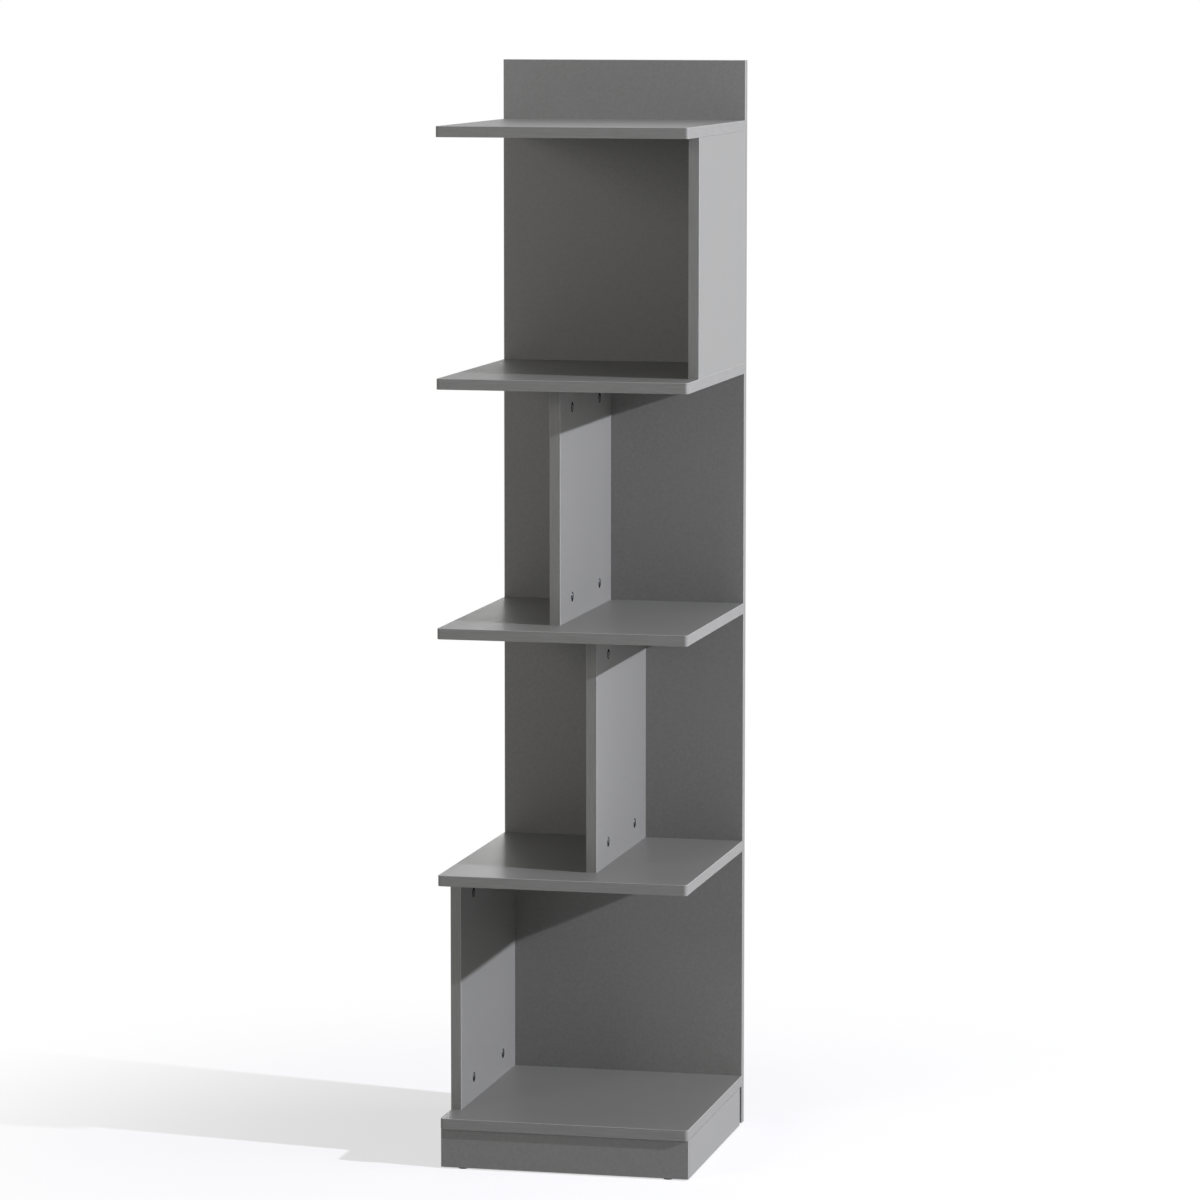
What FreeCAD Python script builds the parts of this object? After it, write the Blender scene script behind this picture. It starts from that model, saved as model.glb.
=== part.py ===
import FreeCAD, Part
import os
from FreeCAD import Vector

# Spine bookshelf: an upright back panel carries four shelves and a base board. Between them
# stand four dividers that step from one side to the other, and a plinth closes the foot.
# Millimetres. X runs to the right, Y to the rear, Z up. The origin lies on the floor under
# the middle of the overall box.

# ---- driving dimensions ----
board = 16.0                  # melamine faced chipboard
edging = 1.0                  # ABS edging on the cut edges that show
arris = 0.7                   # rounding of the edging's long edges
arris_limit = 0.9             # share of the edging's thickness that the rounding may take
width = 375.0
shelf_depth = 409.0           # shelf front to back panel
base_depth = 399.0            # base board front to back panel
bay_height = 350.0            # clear height between two shelves
panel_rise = 90.0             # back panel above the top shelf
corner_radius = 5.0           # front corners of the shelves, in plan
divider_setback = 75.0        # shelf front to divider front
second_divider_bay = 152.0    # clear width left of the second divider
third_divider_bay = 152.0     # clear width right of the third divider
plinth_height = 58.0
plinth_setback = 5.0          # base board front to plinth front
plinth_rear_gap = 15.0        # plinth side to back panel

# ---- fittings ----
cam_bore = 15.0               # pocket of a cam lock
cam_bore_depth = 12.5
cam_offset = 34.0             # board end to the middle of a cam
cam_inset = 77.0              # divider edge to the middle of a cam
cam_clearance = 0.2
cam_recess = 2.4              # depth of the cross recess
cam_recess_span = 8.0
cam_recess_width = 1.8
cam_room = 0.3                # around the bolt's head and neck inside the cam
shelf_cam_inset = 60.0        # shelf end to the middle of a cam
bolt_hole = 8.0
bolt_shank = 5.6
bolt_neck = 3.8
bolt_head = 6.4
bolt_head_length = 3.0
bolt_thread = 5.0
bolt_thread_length = 11.0
bolt_collar = 7.4
bolt_collar_length = 2.0
dowel = 8.0
dowel_length = 30.0
dowel_in_face = 10.0          # share of the dowel's length that sits in a board's face
dowel_spacing = 32.0          # dowel to the cam beside it
rear_dowel_inset = 90.0       # divider end to a dowel in its rear edge
fit_clearance = 0.1           # around dowels and bolts, and past their ends
block_size = 28.0             # plastic corner block inside the plinth
block_wall = 3.5
screw_shank = 3.5
screw_length = 13.0
screw_head = 7.0
screw_head_height = 2.2
glide = 14.0                  # nail-on plastic glide
glide_height = 2.0
glide_inset = 32.0            # board end to the middle of a glide
glide_round = 0.6             # rounding of the glide's lower rim
nail = 2.0
nail_length = 14.0
nail_head = 6.0
nail_head_height = 0.8

# ---- levels and faces worked out from them, both lists of names from the bottom up ----
shelf_names = ["base_board", "fourth_shelf", "third_shelf", "second_shelf", "top_shelf"]
divider_names = ["bottom_divider", "third_divider", "second_divider", "top_divider"]
right = width / 2
left = -right
rear = (shelf_depth + board) / 2
panel_face = rear - board
shelf_front = panel_face - shelf_depth
base_front = panel_face - base_depth
plinth_front_face = base_front + plinth_setback
plinth_top = glide_height + plinth_height
bay_floors = [plinth_top + board + bay * (board + bay_height) for bay in range(len(shelf_names))]
panel_top = bay_floors[-1] + panel_rise
divider_front = shelf_front + divider_setback
divider_left_faces = [left, right - third_divider_bay - board, left + second_divider_bay, right - board]
up = Vector(0, 0, 1)
down = Vector(0, 0, -1)
rightward = Vector(1, 0, 0)
leftward = Vector(-1, 0, 0)
forward = Vector(0, -1, 0)
rearward = Vector(0, 1, 0)
along_strip = board + edging  # an edging strip's edges longer than this run along it
outer_skin = edging / 4       # an edge within this of an outer face lies on it
overshoot = 1.0               # how far a cutting shape runs past the face that it opens

solids = {}                   # node name to the list of its solids
drilled = {}                  # board name to the list of its holes


def span(low, high):
    """A box between two corners, given in any order."""
    corner = Vector(min(low[0], high[0]), min(low[1], high[1]), min(low[2], high[2]))
    size = [abs(high[axis] - low[axis]) for axis in range(3)]
    return Part.makeBox(size[0], size[1], size[2], corner)


def rod(diameter, length, start, direction):
    return Part.makeCylinder(diameter / 2, length, start, direction)


def drill(name, hole):
    drilled.setdefault(name, []).append(hole)


def add(name, solid):
    solids.setdefault(name, []).append(solid)


def ease(solid, shows):
    """Rounds the edges whose middle passes the test, as edging is scraped after gluing."""
    edges = [edge for edge in solid.Edges if shows(edge.CenterOfMass, edge)]
    return solid.makeFillet(min(arris, arris_limit * edging), edges)


def seat(solid, point, along, outward):
    """Turns a fitting made on the X axis so that X runs along and Z outward."""
    turned = solid.copy()
    rotation = FreeCAD.Rotation(along, outward.cross(along), outward, "ZXY")
    turned.Placement = FreeCAD.Placement(point, rotation)
    return turned


# ---- cam lock and its bolt, made on the X axis with the joint at X = 0 ----
# The cam drops into a pocket in the board's face, and its channel closes behind the bolt's head.
cam_height = cam_bore_depth - 2 * cam_clearance
cam_face = board / 2 - cam_clearance
head_start = cam_offset - bolt_head_length / 2


def make_cam():
    body = rod(cam_bore - 2 * cam_clearance, cam_height, Vector(cam_offset, 0, cam_face), down)
    half_head = bolt_head / 2 + cam_room
    half_neck = bolt_neck / 2 + cam_room
    pocket_ends = [head_start - cam_room, head_start + bolt_head_length + cam_room]
    pocket = span((pocket_ends[0], -half_head, -half_head), (pocket_ends[1], half_head, half_head))
    channel = span((cam_offset - cam_bore, -half_neck, -half_neck), (cam_offset, half_neck, half_neck))
    recess_floor = cam_face - cam_recess
    half_span = cam_recess_span / 2
    half_width = cam_recess_width / 2
    arm_low = (cam_offset - half_span, -half_width, recess_floor)
    arm_high = (cam_offset + half_span, half_width, board)
    cross_low = (cam_offset - half_width, -half_span, recess_floor)
    cross_high = (cam_offset + half_width, half_span, board)
    return body.cut([pocket, channel, span(arm_low, arm_high), span(cross_low, cross_high)])


def make_bolt():
    thread = rod(bolt_thread - 2 * fit_clearance, bolt_thread_length, Vector(0, 0, 0), leftward)
    collar = rod(bolt_collar, bolt_collar_length, Vector(0, 0, 0), rightward)
    neck_start = cam_offset - cam_bore / 2 - cam_clearance
    shank = rod(bolt_shank, neck_start, Vector(0, 0, 0), rightward)
    neck = rod(bolt_neck, cam_offset, Vector(0, 0, 0), rightward)
    head = rod(bolt_head, bolt_head_length, Vector(head_start, 0, 0), rightward)
    return thread.fuse([collar, shank, neck, head]).removeSplitter()


cam_shape = make_cam()
bolt_shape = make_bolt()


def cam_joint(edge_board, face_board, point, into, outward, kind):
    """Cam in edge_board's face, bolt screwed into face_board. The joint's middle is at point."""
    pocket_start = point + into * cam_offset + outward * (board / 2)
    drill(edge_board, rod(cam_bore, cam_bore_depth, pocket_start, outward * -1))
    drill(edge_board, rod(bolt_hole, cam_offset, point, into))
    pilot_length = bolt_thread_length + fit_clearance
    drill(face_board, rod(bolt_thread, pilot_length, point, into * -1))
    add(kind + "_cams", seat(cam_shape, point, into, outward))
    add(kind + "_cam_bolts", seat(bolt_shape, point, into, outward))


def dowel_joint(edge_board, face_board, point, into, kind):
    """Beech dowel, mostly in edge_board's end and partly in face_board's face."""
    hole = dowel + 2 * fit_clearance
    drill(edge_board, rod(hole, dowel_length - dowel_in_face + fit_clearance, point, into))
    drill(face_board, rod(hole, dowel_in_face + fit_clearance, point, into * -1))
    add(kind + "_dowels", rod(dowel, dowel_length, point - into * dowel_in_face, into))


# ---- shelves and base board: a core with edging round its ends and front ----
def plan_prism(half_width, front, radius, bottom):
    """A board's outline in plan, square at the rear and rounded at both front corners."""
    slant = radius * (1 - 0.5 ** 0.5)
    points = [Vector(-half_width, panel_face, bottom), Vector(-half_width, front + radius, bottom)]
    points += [Vector(-half_width + slant, front + slant, bottom), Vector(-half_width + radius, front, bottom)]
    mirrored = [Vector(-point.x, point.y, point.z) for point in reversed(points)]
    line = [Part.makeLine(points[0], points[1]), Part.Arc(points[1], points[2], points[3]).toShape()]
    line += [Part.makeLine(points[3], mirrored[0])]
    line += [Part.Arc(mirrored[0], mirrored[1], mirrored[2]).toShape()]
    line += [Part.makeLine(mirrored[2], mirrored[3]), Part.makeLine(mirrored[3], points[0])]
    return Part.Face(Part.Wire(line)).extrude(Vector(0, 0, board))


for name, top in zip(shelf_names, bay_floors):
    front = base_front if name == "base_board" else shelf_front
    core = plan_prism(right - edging, front + edging, corner_radius - edging, top - board)
    outline = plan_prism(right, front, corner_radius, top - board)
    outline = ease(outline, lambda middle, edge: middle.y < panel_face - edging and
                   abs(middle.z - top + board / 2) > board / 2 - edging)
    add(name, core)
    add(name + "_edging", outline.cut(core))
    for side in (-1, 1):
        cam_x = side * (right - shelf_cam_inset)
        cam_joint(name, "back_panel", Vector(cam_x, panel_face, top - board / 2), forward, down, "shelf")
        dowel_x = cam_x - side * dowel_spacing
        dowel_joint(name, "back_panel", Vector(dowel_x, panel_face, top - board / 2), forward, "shelf")

# ---- dividers: edging on the front edge, cams top and bottom ----
for number, name in enumerate(divider_names):
    low_x = divider_left_faces[number]
    high_x = low_x + board
    middle_x = low_x + board / 2
    floor = bay_floors[number]
    ceiling = floor + bay_height
    add(name, span((low_x, divider_front + edging, floor), (high_x, panel_face, ceiling)))
    strip = span((low_x, divider_front, floor), (high_x, divider_front + edging, ceiling))
    strip = ease(strip, lambda middle, edge: middle.y < divider_front + outer_skin and
                 edge.Length > along_strip)
    add(name + "_edging", strip)
    cam_side = leftward if name == "top_divider" else rightward
    joint_ends = [(shelf_names[number], floor, up), (shelf_names[number + 1], ceiling, down)]
    cam_rows = [(divider_front + cam_inset, 1), (panel_face - cam_inset, -1)]
    for shelf, level, into in joint_ends:
        for cam_y, inward in cam_rows:
            cam_joint(name, shelf, Vector(middle_x, cam_y, level), into, cam_side, "divider")
            dowel_y = cam_y + inward * dowel_spacing
            dowel_joint(name, shelf, Vector(middle_x, dowel_y, level), into, "divider")
        dowel_z = level + into.z * rear_dowel_inset
        dowel_joint(name, "back_panel", Vector(middle_x, panel_face, dowel_z), forward, "divider")

# ---- back panel: the spine, edged all round ----
panel_bottom = glide_height
add("back_panel", span((left + edging, panel_face, panel_bottom + edging),
                       (right - edging, rear, panel_top - edging)))
panel_strips = {
    "left": ((left, panel_bottom), (left + edging, panel_top)),
    "right": ((right - edging, panel_bottom), (right, panel_top)),
    "top": ((left + edging, panel_top - edging), (right - edging, panel_top)),
    "bottom": ((left + edging, panel_bottom), (right - edging, panel_bottom + edging)),
}


def on_panel_rim(middle):
    if min(middle.x - left, right - middle.x) < outer_skin:
        return True
    return min(middle.z - panel_bottom, panel_top - middle.z) < outer_skin


for side, (low, high) in panel_strips.items():
    strip = span((low[0], panel_face, low[1]), (high[0], rear, high[1]))
    strip = ease(strip, lambda middle, edge: on_panel_rim(middle) and edge.Length > along_strip)
    add("back_panel_" + side + "_edging", strip)

# ---- plinth: front board over two side boards, standing on glides ----
plinth_sides_front = plinth_front_face + board
plinth_sides_rear = panel_face - plinth_rear_gap
add("plinth_front", span((left + edging, plinth_front_face, glide_height),
                         (right - edging, plinth_sides_front, plinth_top)))
for side, name in ((-1, "left"), (1, "right")):
    end = side * right
    strip = span((end, plinth_front_face, glide_height), (end - side * edging, plinth_sides_front, plinth_top))
    strip = ease(strip, lambda middle, edge: abs(middle.x - end) < outer_skin and
                 middle.y < plinth_front_face + outer_skin and edge.Length > along_strip)
    add("plinth_front_" + name + "_edging", strip)
    inner = end - side * board
    board_name = "plinth_" + name
    add(board_name, span((end, plinth_sides_front, glide_height), (inner, plinth_sides_rear - edging, plinth_top)))
    strip = span((end, plinth_sides_rear - edging, glide_height), (inner, plinth_sides_rear, plinth_top))
    strip = ease(strip, lambda middle, edge: middle.y > plinth_sides_rear - outer_skin and
                 edge.Length > along_strip)
    add(board_name + "_edging", strip)
    below_block = (glide_height + plinth_top - block_size) / 2
    joint = Vector(end - side * board / 2, plinth_sides_front, below_block)
    dowel_joint(board_name, "plinth_front", joint, rearward, "plinth")

# ---- corner blocks inside the plinth, with their screws ----
block_middle = (block_size + block_wall) / 2
pan_screw = rod(screw_shank - 2 * fit_clearance, screw_length, Vector(0, 0, 0), rightward)
pan_screw = pan_screw.fuse(rod(screw_head, screw_head_height, Vector(0, 0, 0), leftward)).removeSplitter()
screw_bite = screw_length - block_wall + fit_clearance


def corner_block(corner, inward_x, inward_y):
    """Three thin plates at right angles, each with one screw hole through its middle."""
    far = (corner.x + inward_x * block_size, corner.y + inward_y * block_size, corner.z - block_size)
    hollow = (corner.x + inward_x * block_wall, corner.y + inward_y * block_wall, corner.z - block_wall)
    open_end = (far[0] + inward_x * overshoot, far[1] + inward_y * overshoot, far[2] - overshoot)
    shell = span(corner, far).cut(span(hollow, open_end))
    middle = corner + Vector(inward_x * block_middle, inward_y * block_middle, -block_middle)
    holes = []
    for direction in (Vector(-inward_x, 0, 0), Vector(0, -inward_y, 0), up):
        holes.append(rod(screw_shank + 2 * fit_clearance, block_size, middle, direction))
    return shell.cut(holes), middle


def block_screw(face_board, middle, direction, sideways):
    """One screw from inside the block into a board. Its head bears on the block's plate."""
    bearing = middle + direction * (block_middle - block_wall)
    add("plinth_block_screws", seat(pan_screw, bearing, direction, sideways))
    start = bearing + direction * block_wall
    drill(face_board, rod(screw_shank, screw_bite, start, direction))


for side, name in ((-1, "left"), (1, "right")):
    inner = side * (right - board)
    outward = Vector(side, 0, 0)
    front_block, middle = corner_block(Vector(inner, plinth_sides_front, plinth_top), -side, 1)
    add("plinth_blocks", front_block)
    block_screw("plinth_" + name, middle, outward, up)
    block_screw("plinth_front", middle, forward, up)
    block_screw("base_board", middle, up, rearward)
    rear_block, middle = corner_block(Vector(inner, plinth_sides_rear - edging, plinth_top), -side, -1)
    add("plinth_blocks", rear_block)
    block_screw("plinth_" + name, middle, outward, up)
    block_screw("base_board", middle, up, rearward)

# ---- nail-on glides under the plinth and the back panel ----
glide_shape = rod(glide, glide_height, Vector(0, 0, 0), up)
glide_rim = [edge for edge in glide_shape.Edges if edge.Closed and edge.CenterOfMass.z < glide_round]
glide_shape = glide_shape.makeFillet(glide_round, glide_rim)
nail_seat = glide_height - nail_head_height - fit_clearance
nail_hole = rod(nail + 2 * fit_clearance, glide_height, Vector(0, 0, 0), up)
head_hole = rod(nail_head + 2 * fit_clearance, nail_seat, Vector(0, 0, 0), up)
glide_shape = glide_shape.cut([nail_hole, head_hole])
nail_shape = rod(nail_head, nail_head_height, Vector(0, 0, nail_seat - nail_head_height), up)
nail_shape = nail_shape.fuse(rod(nail, nail_length, Vector(0, 0, nail_seat - nail_head_height), up))
nail_shape = nail_shape.removeSplitter()
nail_bite = nail_length + nail_seat - nail_head_height - glide_height + fit_clearance
glide_places = []
for side, name in ((-1, "left"), (1, "right")):
    end_x = side * (right - glide_inset)
    glide_places.append(("plinth_front", end_x, plinth_front_face + board / 2))
    glide_places.append(("plinth_" + name, side * (right - board / 2), plinth_sides_rear - glide_inset))
    glide_places.append(("back_panel", end_x, panel_face + board / 2))
for board_name, x, y in glide_places:
    spot = Vector(x, y, 0)
    add("glides", glide_shape.translated(spot))
    add("glide_nails", nail_shape.translated(spot))
    nail_way = rod(nail + 2 * fit_clearance, nail_bite, Vector(x, y, glide_height), up)
    drill(board_name, nail_way)
    if board_name == "back_panel":
        drill("back_panel_bottom_edging", nail_way)

# ---- drill the boards and write one file per node ----
os.makedirs("parts", exist_ok=True)
for name, pieces in solids.items():
    if name in drilled:
        pieces = [pieces[0].cut(drilled[name])]
    shape = pieces[0] if len(pieces) == 1 else Part.makeCompound(pieces)
    shape.exportStep("parts/" + name + ".step")
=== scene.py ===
import math

import bmesh
import bpy
from mathutils import Matrix, Vector


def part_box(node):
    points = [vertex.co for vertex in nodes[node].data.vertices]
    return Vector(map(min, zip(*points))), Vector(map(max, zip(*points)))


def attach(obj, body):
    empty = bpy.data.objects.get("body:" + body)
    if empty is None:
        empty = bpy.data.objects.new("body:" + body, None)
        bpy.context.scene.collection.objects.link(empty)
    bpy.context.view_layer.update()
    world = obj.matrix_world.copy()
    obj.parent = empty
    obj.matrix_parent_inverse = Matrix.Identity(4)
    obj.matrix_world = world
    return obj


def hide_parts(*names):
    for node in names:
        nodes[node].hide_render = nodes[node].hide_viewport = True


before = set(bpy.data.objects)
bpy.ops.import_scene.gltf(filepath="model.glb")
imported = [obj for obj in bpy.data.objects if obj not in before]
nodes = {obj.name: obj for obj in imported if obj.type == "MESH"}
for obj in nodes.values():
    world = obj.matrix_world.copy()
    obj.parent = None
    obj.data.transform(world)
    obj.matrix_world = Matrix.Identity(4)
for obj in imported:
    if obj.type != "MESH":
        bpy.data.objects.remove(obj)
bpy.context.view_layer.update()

mm = 0.001

# ---- back panel ----
# The spine: 16 mm particleboard, faced on both sides with melamine paper pressed on between
# textured plates, then sawn to size. All the other boards are cut from the same sheets.


def linear(hex_colour):
    """An sRGB hex value as linear light, with an alpha of 1."""
    light = []
    for start in (0, 2, 4):
        part = int(hex_colour[start:start + 2], 16) / 255
        light.append(part / 12.92 if part <= 0.04045 else ((part + 0.055) / 1.055) ** 2.4)
    return light + [1.0]


def add_node(tree, kind, values=None, **settings):
    """Adds one node. values maps an input's identifier, name or number to a value or to an output
    to link it with."""
    made = tree.nodes.new(kind)
    for setting, value in settings.items():
        setattr(made, setting, value)
    for key, value in (values or {}).items():
        named = [socket for socket in made.inputs if socket.identifier == key]
        socket = named[0] if named else made.inputs[key]
        if isinstance(value, bpy.types.NodeSocket):
            tree.links.new(value, socket)
        else:
            socket.default_value = value
    return made


def empty_material(name):
    """A new material with no nodes yet."""
    material = bpy.data.materials.new(name)
    material.use_nodes = True
    material.node_tree.nodes.clear()
    return material


# nearly all of a noise pattern lies between these two
noise_low, noise_high = 0.3, 0.7


def graphite_melamine(name, thickness_axis, darkest_chip_and_shade="121010", palest_chip_and_shade="27231f"):
    """Matt graphite melamine on a board's two faces, particleboard chips on its sawn sides and in its
    holes. The default chip colours are near black, painted shade down in the holes and pockets. To the eye
    the face is finely embossed, like pearl, over a faintly clouded print."""
    material = empty_material(name)
    tree = material.node_tree
    place = add_node(tree, "ShaderNodeTexCoord")
    # melamine lies on the sides that face along the board's thickness
    facing = add_node(tree, "ShaderNodeSeparateXYZ", {"Vector": place.outputs["Normal"]})
    straight = add_node(tree, "ShaderNodeMath", {0: facing.outputs[thickness_axis]}, operation="ABSOLUTE")
    faced = add_node(tree, "ShaderNodeMath", {0: straight.outputs[0], 1: 0.5}, operation="GREATER_THAN")
    # the print has clouds 5 mm across, and drifts slightly in tone over 100 mm
    clouds = add_node(tree, "ShaderNodeTexNoise", {"Vector": place.outputs["Object"],
                                                   "Scale": 1 / (5 * mm), "Detail": 3.0,
                                                   "Roughness": 0.65})
    cloud_tone = add_node(tree, "ShaderNodeMapRange", {"Value": clouds.outputs["Fac"],
                                                       "From Min": noise_low, "From Max": noise_high})
    printed = add_node(tree, "ShaderNodeMix", {"Factor_Float": cloud_tone.outputs[0],
                                               "A_Color": linear("676763"), "B_Color": linear("70706c")},
                       data_type="RGBA")
    drift = add_node(tree, "ShaderNodeTexNoise", {"Vector": place.outputs["Object"],
                                                  "Scale": 1 / (100 * mm), "Detail": 1.0})
    drift_tone = add_node(tree, "ShaderNodeMapRange", {"Value": drift.outputs["Fac"],
                                                       "From Min": noise_low, "From Max": noise_high,
                                                       "To Max": 0.25})
    paper = add_node(tree, "ShaderNodeMix", {"Factor_Float": drift_tone.outputs[0],
                                             "A_Color": printed.outputs[2], "B_Color": linear("6a6b69")},
                     data_type="RGBA")
    sheen = add_node(tree, "ShaderNodeMapRange", {"Value": clouds.outputs["Fac"],
                                                  "From Min": noise_low, "From Max": noise_high,
                                                  "To Min": 0.39, "To Max": 0.45})
    # pearl embossing, drawn 1.1 mm across, about twice as coarse as it is, so that it shows
    pearl = add_node(tree, "ShaderNodeTexNoise", {"Vector": place.outputs["Object"],
                                                  "Scale": 1 / (1.1 * mm), "Detail": 1.0})
    # particleboard: pressed chips about 2 mm across; the near-black default colours are painted shade in
    # the holes
    chips = add_node(tree, "ShaderNodeTexVoronoi", {"Vector": place.outputs["Object"],
                                                    "Scale": 1 / (2 * mm)})
    chip_tone = add_node(tree, "ShaderNodeSeparateColor", {"Color": chips.outputs["Color"]})
    chip_and_shade = add_node(tree, "ShaderNodeMix", {"Factor_Float": chip_tone.outputs[0],
                                            "A_Color": linear(darkest_chip_and_shade),
                                            "B_Color": linear(palest_chip_and_shade)}, data_type="RGBA")
    chip_edge = add_node(tree, "ShaderNodeMath", {0: chips.outputs["Distance"], 1: 4.0},
                         operation="MULTIPLY")
    # each side takes its colour, roughness and relief from the melamine or from the chips
    colour = add_node(tree, "ShaderNodeMix", {"Factor_Float": faced.outputs[0],
                                              "A_Color": chip_and_shade.outputs[2], "B_Color": paper.outputs[2]},
                      data_type="RGBA")
    roughness = add_node(tree, "ShaderNodeMix", {"Factor_Float": faced.outputs[0], "A_Float": 0.9,
                                                 "B_Float": sheen.outputs[0]}, data_type="FLOAT")
    height = add_node(tree, "ShaderNodeMix", {"Factor_Float": faced.outputs[0],
                                              "A_Float": chip_edge.outputs[0],
                                              "B_Float": pearl.outputs["Fac"]}, data_type="FLOAT")
    relief = add_node(tree, "ShaderNodeBump", {"Height": height.outputs[0], "Distance": 0.06 * mm,
                                               "Strength": 0.6})
    surface = add_node(tree, "ShaderNodeBsdfPrincipled", {"Base Color": colour.outputs[2], "IOR": 1.5,
                                                          "Roughness": roughness.outputs[0],
                                                          "Normal": relief.outputs[0]})
    add_node(tree, "ShaderNodeOutputMaterial", {"Surface": surface.outputs[0]})
    return material


def dress(node, material):
    """Gives a construction node its finish."""
    nodes[node].data.materials.clear()
    nodes[node].data.materials.append(material)


dress("back_panel", graphite_melamine("graphite_melamine_upright", "Y"))

# ---- edging of the back panel ----
# Extruded ABS strip, 1 mm thick, glued on hot and flush-trimmed, its long edges scraped round.
# Scraping leaves the arris smoother than the embossed face of the strip, and its paler colour is partly
# scraping and partly a painted highlight.


def abs_edging(name, flat_lying):
    """Matt graphite ABS, with paler arrises, partly from scraping and partly a painted highlight.
    flat_lying says that the strip runs round a level board, so that its arrises face partly up or down."""
    material = empty_material(name)
    tree = material.node_tree
    place = add_node(tree, "ShaderNodeTexCoord")
    facing = add_node(tree, "ShaderNodeSeparateXYZ", {"Vector": place.outputs["Normal"]})
    # slant is 0 on a flat side, and 0.25 on an arris half-way round to the next side
    if flat_lying:
        level = add_node(tree, "ShaderNodeMath", {0: facing.outputs["Z"], 1: facing.outputs["Z"]},
                         operation="MULTIPLY")
        upright = add_node(tree, "ShaderNodeMath", {0: 1.0, 1: level.outputs[0]}, operation="SUBTRACT")
        slant = add_node(tree, "ShaderNodeMath", {0: level.outputs[0], 1: upright.outputs[0]},
                         operation="MULTIPLY")
    else:
        both = add_node(tree, "ShaderNodeMath", {0: facing.outputs["X"], 1: facing.outputs["Y"]},
                        operation="MULTIPLY")
        slant = add_node(tree, "ShaderNodeMath", {0: both.outputs[0], 1: both.outputs[0]},
                         operation="MULTIPLY")
    scraped_and_highlight = add_node(tree, "ShaderNodeMapRange", {"Value": slant.outputs[0], "From Min": 0.02,
                                                    "From Max": 0.2})
    # the extruder's die leaves fine streaks along the strip
    drawn = add_node(tree, "ShaderNodeMapping",
                     {"Vector": place.outputs["Object"],
                      "Scale": (0.06, 0.06, 1.0) if flat_lying else (1.0, 1.0, 0.06)})
    streaks = add_node(tree, "ShaderNodeTexNoise", {"Vector": drawn.outputs[0],
                                                    "Scale": 1 / (2.2 * mm), "Detail": 3.0})
    tone = add_node(tree, "ShaderNodeMapRange", {"Value": streaks.outputs["Fac"],
                                                 "From Min": noise_low, "From Max": noise_high})
    plain = add_node(tree, "ShaderNodeMix", {"Factor_Float": tone.outputs[0],
                                             "A_Color": linear("6a6a66"), "B_Color": linear("72726e")},
                     data_type="RGBA")
    # the arrises are paler: partly scraping, partly a painted highlight
    colour = add_node(tree, "ShaderNodeMix", {"Factor_Float": scraped_and_highlight.outputs[0],
                                              "A_Color": plain.outputs[2], "B_Color": linear("92928e")},
                      data_type="RGBA")
    sheen = add_node(tree, "ShaderNodeMapRange", {"Value": scraped_and_highlight.outputs[0], "To Min": 0.52,
                                                  "To Max": 0.34})
    # the embossing roller leaves a grain of about 1.4 mm
    grain = add_node(tree, "ShaderNodeTexNoise", {"Vector": place.outputs["Object"],
                                                  "Scale": 1 / (1.4 * mm), "Detail": 2.0})
    relief = add_node(tree, "ShaderNodeBump", {"Height": grain.outputs["Fac"], "Distance": 0.05 * mm,
                                               "Strength": 0.5})
    surface = add_node(tree, "ShaderNodeBsdfPrincipled", {"Base Color": colour.outputs[2], "IOR": 1.5,
                                                          "Roughness": sheen.outputs[0],
                                                          "Normal": relief.outputs[0]})
    add_node(tree, "ShaderNodeOutputMaterial", {"Surface": surface.outputs[0]})
    return material


level_edging = abs_edging("graphite_abs_edging_level", True)
upright_edging = abs_edging("graphite_abs_edging_upright", False)
for side in ("left", "right"):
    dress("back_panel_" + side + "_edging", upright_edging)
for side in ("top", "bottom"):
    dress("back_panel_" + side + "_edging", level_edging)

# ---- base board and shelves ----
# Level boards, butted to the spine with dowels and pulled tight by cam locks from below. One
# strip of edging runs round both ends and the front, bent round the small front corners.
level_melamine = graphite_melamine("graphite_melamine_level", "Z")
for board in ("base_board", "fourth_shelf", "third_shelf", "second_shelf", "top_shelf"):
    dress(board, level_melamine)
    dress(board + "_edging", level_edging)

# ---- dividers ----
# Upright boards between the shelves, edged only in front. Each is held by two cam locks and
# two dowels at either end, and by two dowels into the spine.
dividers = ("bottom_divider", "third_divider", "second_divider", "top_divider")
cheek_melamine = graphite_melamine("graphite_melamine_cheek", "X")
for board in dividers:
    dress(board, cheek_melamine)
    dress(board + "_edging", upright_edging)

# ---- plinth ----
# A front board across the full width and two side boards behind it, edged where their ends show.
# Their lower edges stay raw, and show the brown particleboard.
brown_chips = {"darkest_chip_and_shade": "3a3026", "palest_chip_and_shade": "5e4f3f"}
dress("plinth_front", graphite_melamine("graphite_melamine_plinth_front", "Y", **brown_chips))
plinth_melamine = graphite_melamine("graphite_melamine_plinth_side", "X", **brown_chips)
for side in ("left", "right"):
    dress("plinth_" + side, plinth_melamine)
    dress("plinth_" + side + "_edging", upright_edging)
    dress("plinth_front_" + side + "_edging", upright_edging)

# ---- dowels ----
# Fluted beech, 8 x 30 mm, pushed into glued holes. They place the boards while the cams are
# turned, and carry the shelves on the spine afterwards.


def joined(node):
    """A copy of a construction node's mesh, with its loose triangles joined at their corners."""
    work = bmesh.new()
    work.from_mesh(nodes[node].data)
    bmesh.ops.remove_doubles(work, verts=work.verts, dist=0.002 * mm)
    return work


def solids_of(node):
    """Each separate solid of a construction node, as the list of its corner points."""
    work = joined(node)
    found, seen = [], set()
    for start in work.verts:
        if start in seen:
            continue
        group, waiting = [], [start]
        seen.add(start)
        while waiting:
            corner = waiting.pop()
            group.append(corner.co.copy())
            for edge in corner.link_edges:
                other = edge.other_vert(corner)
                if other not in seen:
                    seen.add(other)
                    waiting.append(other)
        found.append(group)
    work.free()
    return found


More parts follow.
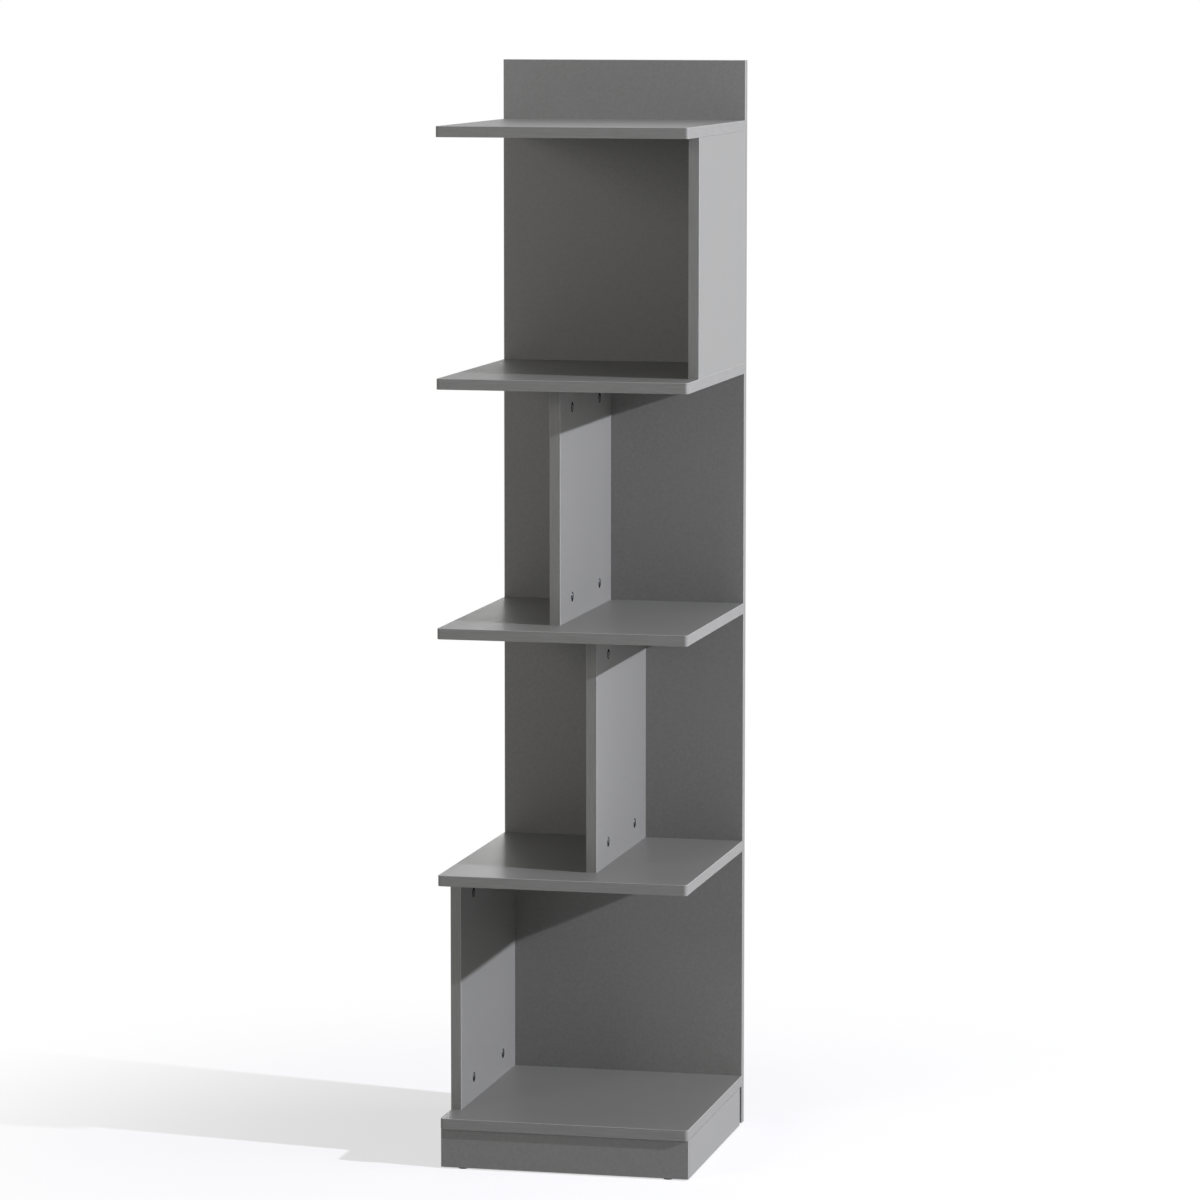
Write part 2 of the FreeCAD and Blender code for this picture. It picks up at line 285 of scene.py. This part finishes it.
def box_of(corners):
    """The lowest corner, the highest corner and the middle of the box round some points."""
    low = Vector([min(corner[axis] for corner in corners) for axis in range(3)])
    high = Vector([max(corner[axis] for corner in corners) for axis in range(3)])
    return low, high, (low + high) / 2


def seat_of(corners):
    """Where a turned fitting sits: the middle of its narrower end, the direction to its wider end,
    its length and its largest radius."""
    low, high, middle = box_of(corners)
    size = high - low
    # the two sides of equal size lie across the fitting, and the third along it
    pairs = [(abs(size[1] - size[2]), 0), (abs(size[0] - size[2]), 1), (abs(size[0] - size[1]), 2)]
    axis = min(pairs)[1]
    along = Vector([1.0 if number == axis else 0.0 for number in range(3)])
    radius = size[(axis + 1) % 3] / 2
    # the rim is made of the corners that lie nearly as far out as the radius
    rim = []
    for corner in corners:
        offset = corner - middle
        if (offset - along * offset.dot(along)).length > 0.97 * radius:
            rim.append(offset.dot(along))
    if sum(rim) < 0:
        along.negate()
    return middle - along * size[axis] / 2, along, size[axis], radius


def side_of(along):
    """Any direction across a fitting."""
    return Vector((0, 0, 1)) if abs(along.z) < 0.5 else Vector((1, 0, 0))


def seats_of(node):
    """Every seat of a node's like fittings, as point, direction and side, and their length and
    largest radius."""
    found = [seat_of(corners) for corners in solids_of(node)]
    length, radius = found[0][2:]
    return [(point, along, side_of(along)) for point, along, *rest in found], length, radius


def turned(name, profile, corners=24, flutes=0.0):
    """A turned solid about Z: rings of radius, height and sometimes a sideways shift, from the axis
    to the axis again. flutes cuts every other line back by that much."""
    work = bmesh.new()
    rings = []
    for radius, height, *shift in profile:
        aside = shift[0] if shift else 0
        if radius == 0:
            rings.append([work.verts.new((aside, 0, height))])
            continue
        ring = []
        for number in range(corners):
            angle = 2 * math.pi * number / corners
            reach = radius - (flutes if number % 2 else 0)
            ring.append(work.verts.new((aside + reach * math.cos(angle), reach * math.sin(angle), height)))
        rings.append(ring)
    for below, above in zip(rings, rings[1:]):
        for number in range(corners):
            following = (number + 1) % corners
            if len(below) == 1:
                work.faces.new((below[0], above[following], above[number]))
            elif len(above) == 1:
                work.faces.new((below[number], below[following], above[0]))
            else:
                work.faces.new((below[number], below[following], above[following], above[number]))
    bmesh.ops.recalc_face_normals(work, faces=work.faces)
    mesh = bpy.data.meshes.new(name)
    work.to_mesh(mesh)
    work.free()
    return mesh


def seating_tree():
    """Geometry Nodes: one copy of a fitting on each seat, its Z axis along the seat's direction and
    its X axis towards the seat's side, turned by a random part of Spread."""
    tree = bpy.data.node_groups.new("fittings_on_seats", "GeometryNodeTree")
    for name, kind in (("Seats", "Geometry"), ("Fitting", "Object"), ("Spread", "Float"), ("Seed", "Int"),
                       ("Finish", "Material")):
        tree.interface.new_socket(name, in_out="INPUT", socket_type="NodeSocket" + kind)
    tree.interface.new_socket("Fittings", in_out="OUTPUT", socket_type="NodeSocketGeometry")
    given = add_node(tree, "NodeGroupInput")
    along = add_node(tree, "GeometryNodeInputNamedAttribute", {"Name": "along"}, data_type="FLOAT_VECTOR")
    aside = add_node(tree, "GeometryNodeInputNamedAttribute", {"Name": "aside"}, data_type="FLOAT_VECTOR")
    upright = add_node(tree, "FunctionNodeAlignRotationToVector", {"Vector": along.outputs[0]}, axis="Z")
    facing = add_node(tree, "FunctionNodeAlignRotationToVector",
                      {"Rotation": upright.outputs[0], "Vector": aside.outputs[0]},
                      axis="X", pivot_axis="Z")
    chance = add_node(tree, "FunctionNodeRandomValue",
                      {"Min_001": 0.0, "Max_001": 1.0, "Seed": given.outputs["Seed"]}, data_type="FLOAT")
    angle = add_node(tree, "ShaderNodeMath", {0: chance.outputs[1], 1: given.outputs["Spread"]},
                     operation="MULTIPLY")
    spin = add_node(tree, "FunctionNodeAxisAngleToRotation",
                    {"Axis": (0, 0, 1), "Angle": angle.outputs[0]})
    turn = add_node(tree, "FunctionNodeRotateRotation",
                    {"Rotation": facing.outputs[0], "Rotate By": spin.outputs[0]},
                    rotation_space="LOCAL")
    source = add_node(tree, "GeometryNodeObjectInfo",
                      {"Object": given.outputs["Fitting"], "As Instance": True})
    copies = add_node(tree, "GeometryNodeInstanceOnPoints",
                      {"Points": given.outputs["Seats"], "Instance": source.outputs["Geometry"],
                       "Rotation": turn.outputs[0]})
    real = add_node(tree, "GeometryNodeRealizeInstances", {"Geometry": copies.outputs[0]})
    finished = add_node(tree, "GeometryNodeSetMaterial",
                        {"Geometry": real.outputs[0], "Material": given.outputs["Finish"]})
    add_node(tree, "NodeGroupOutput", {"Fittings": finished.outputs[0]})
    return tree


fittings_on_seats = seating_tree()


def show(name, mesh, node):
    """Adds a finished piece in place of a construction node."""
    piece = bpy.data.objects.new(name, mesh)
    bpy.context.scene.collection.objects.link(piece)
    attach(piece, "root")
    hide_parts(node)


def fit(node, fitting, seats, material, spread=0.0, seed=1):
    """Puts a copy of the fitting's mesh on each seat, in place of the node. The mesh keeps its own
    coordinates in own_place, so that its pattern goes with it."""
    own_place = fitting.attributes.new("own_place", "FLOAT_VECTOR", "POINT")
    own_place.data.foreach_set("vector", [part for corner in fitting.vertices for part in corner.co])
    pattern = bpy.data.objects.new(node + "_pattern", fitting)
    points = bpy.data.meshes.new(node + "_seats")
    points.from_pydata([point for point, along, aside in seats], [], [])
    for name, column in (("along", 1), ("aside", 2)):
        directions = points.attributes.new(name, "FLOAT_VECTOR", "POINT")
        directions.data.foreach_set("vector", [part for seat in seats for part in seat[column]])
    bench = bpy.data.objects.new(node + "_bench", points)
    for made in (pattern, bench):
        bpy.context.scene.collection.objects.link(made)
    modifier = bench.modifiers.new("fittings", "NODES")
    modifier.node_group = fittings_on_seats
    values = {"Fitting": pattern, "Spread": spread, "Seed": seed, "Finish": material}
    for item in fittings_on_seats.interface.items_tree:
        if item.in_out == "INPUT" and item.name in values:
            modifier[item.identifier] = values[item.name]
    bpy.context.view_layer.update()
    ready = bench.evaluated_get(bpy.context.evaluated_depsgraph_get())
    mesh = bpy.data.meshes.new_from_object(ready)
    bench.modifiers.remove(modifier)
    for made in (pattern, bench):
        bpy.data.objects.remove(made)
    show(node + "_fitted", mesh, node)


def fluted_beech():
    """Steamed beech, turned and fluted: pinkish tan, with fine grain along the dowel."""
    material = empty_material("fluted_beech")
    tree = material.node_tree
    place = add_node(tree, "ShaderNodeAttribute", attribute_name="own_place")
    drawn = add_node(tree, "ShaderNodeMapping", {"Vector": place.outputs["Vector"],
                                                 "Scale": (1, 1, 0.12)})
    grain = add_node(tree, "ShaderNodeTexNoise", {"Vector": drawn.outputs[0], "Scale": 1 / (0.8 * mm)})
    colour = add_node(tree, "ShaderNodeMix", {"Factor_Float": grain.outputs["Fac"],
                                              "A_Color": linear("a67c52"), "B_Color": linear("d9b48a")},
                      data_type="RGBA")
    relief = add_node(tree, "ShaderNodeBump", {"Height": grain.outputs["Fac"], "Distance": 0.05 * mm})
    surface = add_node(tree, "ShaderNodeBsdfPrincipled", {"Base Color": colour.outputs[2],
                                                          "Roughness": 0.7,
                                                          "Normal": relief.outputs[0]})
    add_node(tree, "ShaderNodeOutputMaterial", {"Surface": surface.outputs[0]})
    return material


beech_finish = fluted_beech()
chamfer, flute_depth = 0.8 * mm, 0.3 * mm
for node in ("divider_dowels", "shelf_dowels", "plinth_dowels"):
    seats, length, radius = seats_of(node)
    stick = turned(node, [(0, 0), (radius - chamfer, 0), (radius, chamfer), (radius, length - chamfer),
                          (radius - chamfer, length), (0, length)], corners=36, flutes=flute_depth)
    fit(node, stick, seats, beech_finish)

# ---- cam bolts ----
# Zinc-plated steel. A coarse thread and a collar go into one board, and the necked head reaches
# through the end of the other into its cam.


def plated_steel():
    """Steel wire, headed and rolled, then bright zinc plated: pale and faintly mottled."""
    material = empty_material("bright_zinc_plate")
    tree = material.node_tree
    place = add_node(tree, "ShaderNodeAttribute", attribute_name="own_place")
    cloud = add_node(tree, "ShaderNodeTexNoise", {"Vector": place.outputs["Vector"],
                                                  "Scale": 1 / (1.5 * mm)})
    colour = add_node(tree, "ShaderNodeMix", {"Factor_Float": cloud.outputs["Fac"],
                                              "A_Color": linear("b4b7ba"), "B_Color": linear("d2d4d6")},
                      data_type="RGBA")
    sheen = add_node(tree, "ShaderNodeMapRange", {"Value": cloud.outputs["Fac"], "To Min": 0.22,
                                                  "To Max": 0.36})
    surface = add_node(tree, "ShaderNodeBsdfPrincipled", {"Base Color": colour.outputs[2],
                                                          "Metallic": 1.0,
                                                          "Roughness": sheen.outputs[0]})
    add_node(tree, "ShaderNodeOutputMaterial", {"Surface": surface.outputs[0]})
    return material


def thread(radius, end):
    """Radius and height pairs for the tip, ridges and roots of a thread from height 0 to its end."""
    pitch, depth = 1.0 * mm, 0.45 * mm
    pairs = [(0, 0), (radius - 2 * depth, 0)]
    for number in range(1, round(end / pitch)):
        root = (number - 0.5) * pitch
        pairs += [(radius - depth, root), (radius, root + pitch / 2)]
    return pairs + [(radius - depth, end)]


steel_finish = plated_steel()
thread_length, collar, neck, taper = 11.0 * mm, 2.0 * mm, 7.5 * mm, 1.0 * mm
head, head_slope, head_rim = 3.0 * mm, 0.4 * mm, 0.5 * mm
thread_radius, shank_radius, neck_radius, head_radius = 2.4 * mm, 2.8 * mm, 1.9 * mm, 3.2 * mm
for node in ("divider_cam_bolts", "shelf_cam_bolts"):
    seats, length, radius = seats_of(node)
    # the collar is the widest part and lies nearer the thread, so each seat found starts at the head
    seats = [(point + along * length, -along, aside) for point, along, aside in seats]
    bolt = turned(node, thread(thread_radius, thread_length) + [
        (radius, thread_length), (radius, thread_length + collar),
        (shank_radius, thread_length + collar), (shank_radius, length - neck),
        (neck_radius, length - neck + taper), (neck_radius, length - head),
        (head_radius, length - head + head_slope), (head_radius, length - head_rim),
        (head_radius - 0.6 * mm, length), (0, length)])
    fit(node, bolt, seats, steel_finish)

# ---- cam locks ----
# Die-cast zinc discs, tumbled to a dull grey, dropped into 15 mm pockets a hair below the board's
# face. A cross recess turns them, and a channel inside closes behind the bolt's head.


def cast_zinc():
    """Zinc alloy as cast and tumbled: mid grey and softly pitted on its face. Below the face it is near
    black, painted shade for the throat and the pocket round it."""
    material = empty_material("tumbled_cast_zinc")
    tree = material.node_tree
    place = add_node(tree, "ShaderNodeAttribute", attribute_name="own_place")
    cloud = add_node(tree, "ShaderNodeTexNoise", {"Vector": place.outputs["Vector"],
                                                  "Scale": 1 / (3 * mm)})
    tumbled = add_node(tree, "ShaderNodeMix", {"Factor_Float": cloud.outputs["Fac"],
                                               "A_Color": linear("7c8088"), "B_Color": linear("acb0b6")},
                       data_type="RGBA")
    height = add_node(tree, "ShaderNodeSeparateXYZ", {"Vector": place.outputs["Vector"]})
    # the face keeps the tumbled grey; below it the cam is near black, painted shade that also keeps a
    # highlight off the rim
    face_above_painted_shade = add_node(tree, "ShaderNodeMapRange", {"Value": height.outputs["Z"],
                                                   "From Min": -0.15 * mm, "From Max": -0.02 * mm})
    colour = add_node(tree, "ShaderNodeMix", {"Factor_Float": face_above_painted_shade.outputs[0],
                                              "A_Color": linear("0c0c0e"),
                                              "B_Color": tumbled.outputs[2]}, data_type="RGBA")
    pits = add_node(tree, "ShaderNodeTexNoise", {"Vector": place.outputs["Vector"],
                                                 "Scale": 1 / (0.6 * mm), "Detail": 3.0})
    sheen = add_node(tree, "ShaderNodeMapRange", {"Value": pits.outputs["Fac"], "To Min": 0.32,
                                                  "To Max": 0.52})
    relief = add_node(tree, "ShaderNodeBump", {"Height": pits.outputs["Fac"], "Distance": 0.08 * mm,
                                               "Strength": 0.4})
    surface = add_node(tree, "ShaderNodeBsdfPrincipled", {"Base Color": colour.outputs[2],
                                                          "Metallic": 1.0,
                                                          "Roughness": sheen.outputs[0],
                                                          "Normal": relief.outputs[0]})
    add_node(tree, "ShaderNodeOutputMaterial", {"Surface": surface.outputs[0]})
    return material


def carve(mesh, bars):
    """Cuts bars, each a lowest and a highest corner, out of a mesh."""
    body = bpy.data.objects.new(mesh.name, mesh)
    cutters = []
    for low, high in bars:
        work = bmesh.new()
        bmesh.ops.create_cube(work, size=1.0)
        for corner in work.verts:
            corner.co = Vector([high[axis] if corner.co[axis] > 0 else low[axis] for axis in range(3)])
        cutter_mesh = bpy.data.meshes.new("cutter")
        work.to_mesh(cutter_mesh)
        work.free()
        cutters.append(bpy.data.objects.new("cutter", cutter_mesh))
    for made in [body] + cutters:
        bpy.context.scene.collection.objects.link(made)
    for cutter in cutters:
        cut = body.modifiers.new("cut", "BOOLEAN")
        cut.operation = "DIFFERENCE"
        cut.object = cutter
    bpy.context.view_layer.update()
    carved = bpy.data.meshes.new_from_object(body.evaluated_get(bpy.context.evaluated_depsgraph_get()))
    for made in [body] + cutters:
        bpy.data.objects.remove(made)
    return carved


def cross_recess(middle, arm, half_slot, bottom, top):
    """The two bars that cut a cross recess round a line at middle on the X axis."""
    return [((middle - arm, -half_slot, bottom), (middle + arm, half_slot, top)),
            ((middle - half_slot, -arm, bottom), (middle + half_slot, arm, top))]


def cam_lock(name, radius, depth):
    """A cam with its face at height 0 and its body below. The face is a smaller disc set off centre,
    which leaves a throat like a snail's on the X side. The body is hollow for the bolt's head, and
    open there on the same side."""
    face, throat, rim, face_rim = 4.4 * mm, 5.2 * mm, 0.3 * mm, 0.4 * mm
    aside = face - radius + 0.4 * mm
    body = turned(name, [(0, -depth), (radius - rim, -depth), (radius, -depth + rim),
                         (radius, -throat - rim), (radius - rim, -throat), (face, -throat, aside),
                         (face, -face_rim, aside), (face - face_rim, 0, aside), (0, 0, aside)],
                  corners=50)
    bolt_line, half_hollow, half_channel = -7.8 * mm, 3.6 * mm, 2.2 * mm
    hollow = ((-half_hollow, -half_hollow, bolt_line - half_hollow),
              (half_hollow, half_hollow, bolt_line + half_hollow))
    channel = ((0.2 * mm, -2 * radius, bolt_line - half_channel),
               (2 * radius, 2 * radius, bolt_line + half_channel))
    return carve(body, [hollow, channel] + cross_recess(aside, 3.4 * mm, 0.8 * mm, -2.4 * mm, mm))


zinc_finish = cast_zinc()
seats = []
for corners in solids_of("divider_cams"):
    low, high, middle = box_of(corners)
    for divider in dividers:
        board_low, board_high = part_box(divider)
        if board_low.x < middle.x < board_high.x and board_low.z < middle.z < board_high.z:
            outward = 1 if board_high.x - high.x < low.x - board_low.x else -1
            end = 1 if middle.z > (board_low.z + board_high.z) / 2 else -1
            face = high.x if outward > 0 else low.x
            # turned tight, the throat ends up between the joint and the front
            seats.append(((face, middle.y, middle.z), (outward, 0, 0), (0, -0.8, 0.6 * end)))
# a node's cams are all of one size, which the last one's box gives
fit("divider_cams", cam_lock("divider_cam", (high.z - low.z) / 2, high.x - low.x), seats, zinc_finish,
    spread=0.3, seed=4)
seats = []
for corners in solids_of("shelf_cams"):
    low, high, middle = box_of(corners)
    seats.append(((middle.x, middle.y, low.z), (0, 0, -1), (0.6, 0.8, 0)))
fit("shelf_cams", cam_lock("shelf_cam", (high.x - low.x) / 2, high.z - low.z), seats, zinc_finish,
    spread=0.3, seed=7)

# ---- corner blocks and their screws ----
# Injection-moulded black polypropylene, screwed into the corners behind the plinth with
# zinc-plated pan-head screws.


def moulded_plastic(name, colour, roughness):
    """Black plastic from a spark-eroded mould: a fine dull grain."""
    material = empty_material(name)
    tree = material.node_tree
    place = add_node(tree, "ShaderNodeTexCoord")
    grain = add_node(tree, "ShaderNodeTexNoise", {"Vector": place.outputs["Object"],
                                                  "Scale": 1 / (0.7 * mm), "Detail": 2.0})
    relief = add_node(tree, "ShaderNodeBump", {"Height": grain.outputs["Fac"], "Distance": 0.04 * mm})
    sheen = add_node(tree, "ShaderNodeMapRange", {"Value": grain.outputs["Fac"],
                                                  "To Min": roughness - 0.06,
                                                  "To Max": roughness + 0.06})
    surface = add_node(tree, "ShaderNodeBsdfPrincipled", {"Base Color": linear(colour), "IOR": 1.49,
                                                          "Roughness": sheen.outputs[0],
                                                          "Normal": relief.outputs[0]})
    add_node(tree, "ShaderNodeOutputMaterial", {"Surface": surface.outputs[0]})
    return material


def softened(node, material, width):
    """Shows a node by a copy whose sharp edges are rounded off as far as its mould leaves them."""
    work = joined(node)
    bmesh.ops.dissolve_limit(work, angle_limit=math.radians(1), verts=work.verts, edges=work.edges)
    sharp = [edge for edge in work.edges if edge.is_manifold and edge.calc_face_angle() > math.radians(50)]
    bmesh.ops.bevel(work, geom=sharp, offset=width, segments=2, profile=0.5, affect="EDGES")
    bmesh.ops.triangulate(work, faces=work.faces)
    mesh = bpy.data.meshes.new(node + "_softened")
    work.to_mesh(mesh)
    work.free()
    mesh.materials.append(material)
    show(node + "_softened", mesh, node)


polypropylene = moulded_plastic("black_polypropylene", "1d1d1e", 0.45)
softened("plinth_blocks", polypropylene, 0.5 * mm)
seats, length, radius = seats_of("plinth_block_screws")
head, head_side, thread_radius, recess_depth = 2.2 * mm, 0.9 * mm, 1.65 * mm, 1.3 * mm
# a pan head: a straight side, then a low dome
screw = turned("screw", thread(thread_radius, length - head) + [
    (radius, length - head), (radius, length - head + head_side),
    (radius - 0.7 * mm, length - 0.3 * mm), (radius - 1.6 * mm, length), (0, length)])
screw = carve(screw, cross_recess(0, 1.9 * mm, 0.35 * mm, length - recess_depth, length + mm))
fit("plinth_block_screws", screw, seats, steel_finish, spread=3.1, seed=2)

# ---- glides and nails ----
# Black polyethylene discs under the plinth and the spine. Each is nailed up into a sawn lower
# edge, and keeps the raw board clear of a wet floor.
dress("glides", moulded_plastic("black_polyethylene", "202021", 0.5))
seats, length, radius = seats_of("glide_nails")
head, shank_radius, tip_radius, tip = 0.8 * mm, 0.9 * mm, 0.35 * mm, 1.8 * mm
nail = turned("nail", [(0, 0), (tip_radius, 0), (shank_radius, tip), (shank_radius, length - head),
                       (radius, length - head + 0.1 * mm), (radius, length - 0.25 * mm),
                       (radius - 0.4 * mm, length), (0, length)], corners=20)
fit("glide_nails", nail, seats, steel_finish, spread=1.0, seed=3)

# ---- studio floor ----
# A pale seamless floor of white paint. The eye sees it as white, with only the bookcase's own
# shadow left on it near the foot.


def rays_that_show(tree):
    """1 for what is seen straight, in a gloss or through a glass, and 0 for what only lights."""
    path = add_node(tree, "ShaderNodeLightPath")
    glossy = add_node(tree, "ShaderNodeMath", {0: path.outputs["Is Camera Ray"],
                                               1: path.outputs["Is Glossy Ray"]}, operation="MAXIMUM")
    clear = add_node(tree, "ShaderNodeMath", {0: glossy.outputs[0],
                                              1: path.outputs["Is Transmission Ray"]},
                     operation="MAXIMUM")
    return clear.outputs[0]


reach = 9.0
floor_mesh = bpy.data.meshes.new("studio_floor")
floor_mesh.from_pydata([(-reach, -reach, 0), (reach, -reach, 0), (reach, reach, 0), (-reach, reach, 0)],
                       [], [(0, 1, 2, 3)])
floor = bpy.data.objects.new("studio_floor", floor_mesh)
bpy.context.scene.collection.objects.link(floor)
floor_paint = empty_material("white_floor_paint")
tree = floor_paint.node_tree
place = add_node(tree, "ShaderNodeTexCoord")
distance = add_node(tree, "ShaderNodeVectorMath", {0: place.outputs["Object"]}, operation="LENGTH")
far = add_node(tree, "ShaderNodeMapRange", {"Value": distance.outputs["Value"], "From Min": 0.35,
                                            "From Max": 1.3}, interpolation_type="SMOOTHSTEP")
lighting_look = add_node(tree, "ShaderNodeBsdfDiffuse", {"Color": linear("c8c8c8")})
shadow_part = add_node(tree, "ShaderNodeBsdfDiffuse", {"Color": linear("a0a0a0")})
glow_part = add_node(tree, "ShaderNodeEmission", {"Color": linear("ffffff"), "Strength": 0.62})
near_look = add_node(tree, "ShaderNodeAddShader", {0: shadow_part.outputs[0], 1: glow_part.outputs[0]})
far_look = add_node(tree, "ShaderNodeEmission", {"Color": linear("ffffff"), "Strength": 1.0})
look = add_node(tree, "ShaderNodeMixShader", {0: far.outputs[0], 1: near_look.outputs[0],
                                              2: far_look.outputs[0]})
shown = add_node(tree, "ShaderNodeMixShader", {0: rays_that_show(tree), 1: lighting_look.outputs[0],
                                               2: look.outputs[0]})
add_node(tree, "ShaderNodeOutputMaterial", {"Surface": shown.outputs[0]})
floor_mesh.materials.append(floor_paint)

# ---- studio light ----
# A white surround that is much dimmer where it only lights, one small hard lamp from the right,
# and four large soft fills: from the right, the left front, above and behind.
world = bpy.data.worlds.new("white_surround")
world.use_nodes = True
world.cycles.sampling_method = "NONE"
bpy.context.scene.world = world
tree = world.node_tree
tree.nodes.clear()
dim = add_node(tree, "ShaderNodeBackground", {"Color": linear("fffcfa"), "Strength": 0.10})
bright = add_node(tree, "ShaderNodeBackground", {"Color": linear("ffffff"), "Strength": 1.0})
surround = add_node(tree, "ShaderNodeMixShader", {0: rays_that_show(tree), 1: dim.outputs[0],
                                                  2: bright.outputs[0]})
add_node(tree, "ShaderNodeOutputWorld", {"Surface": surround.outputs[0]})


def lamp(name, place, aim, size, watts, colour):
    """A square area lamp. A small one throws hard shadows and a large one soft light."""
    data = bpy.data.lights.new(name, "AREA")
    data.size = size
    data.energy = watts
    data.color = linear(colour)[:3]
    made = bpy.data.objects.new(name, data)
    bpy.context.scene.collection.objects.link(made)
    made.location = place
    made.rotation_euler = (Vector(aim) - Vector(place)).to_track_quat("-Z", "Y").to_euler()


lamp("key_lamp", (7.08, -1.25, 3.42), (0, 0, 0.9), 0.14, 1080, "f2f2ff")
lamp("side_fill", (4.0, 0.6, 2.0), (0, 0, 0.8), 1.5, 30, "ffffff")
lamp("front_fill", (-2.5, -3.5, 2.2), (0, 0, 0.9), 1.4, 45, "fffcfd")
lamp("top_fill", (0, -0.3, 3.4), (0, 0, 0.8), 1.0, 13, "f2f2ff")
lamp("rear_fill", (-0.8, 5.0, 0.9), (0, 0, 0.8), 1.2, 30, "ffffff")

# ---- camera ----
# A long lens nearly 8 m in front of the bookcase, well to its right and just above its top,
# looking down a little.
camera_data = bpy.data.cameras.new("camera")
camera_data.sensor_width = 36
camera_data.lens = 157.585
camera_data.clip_end = 60
camera = bpy.data.objects.new("camera", camera_data)
bpy.context.scene.collection.objects.link(camera)
stand = Vector((1.7570, -7.5868, 1.7537))
turn, down, roll = math.radians(12.977), math.radians(6.760), math.radians(0.021)
camera.matrix_world = (Matrix.Translation(stand) @ Matrix.Rotation(turn, 4, "Z")
                       @ Matrix.Rotation(math.radians(90) - down, 4, "X")
                       @ Matrix.Rotation(roll, 4, "Z"))
bpy.context.scene.camera = camera
bpy.context.scene.view_settings.view_transform = "Standard"
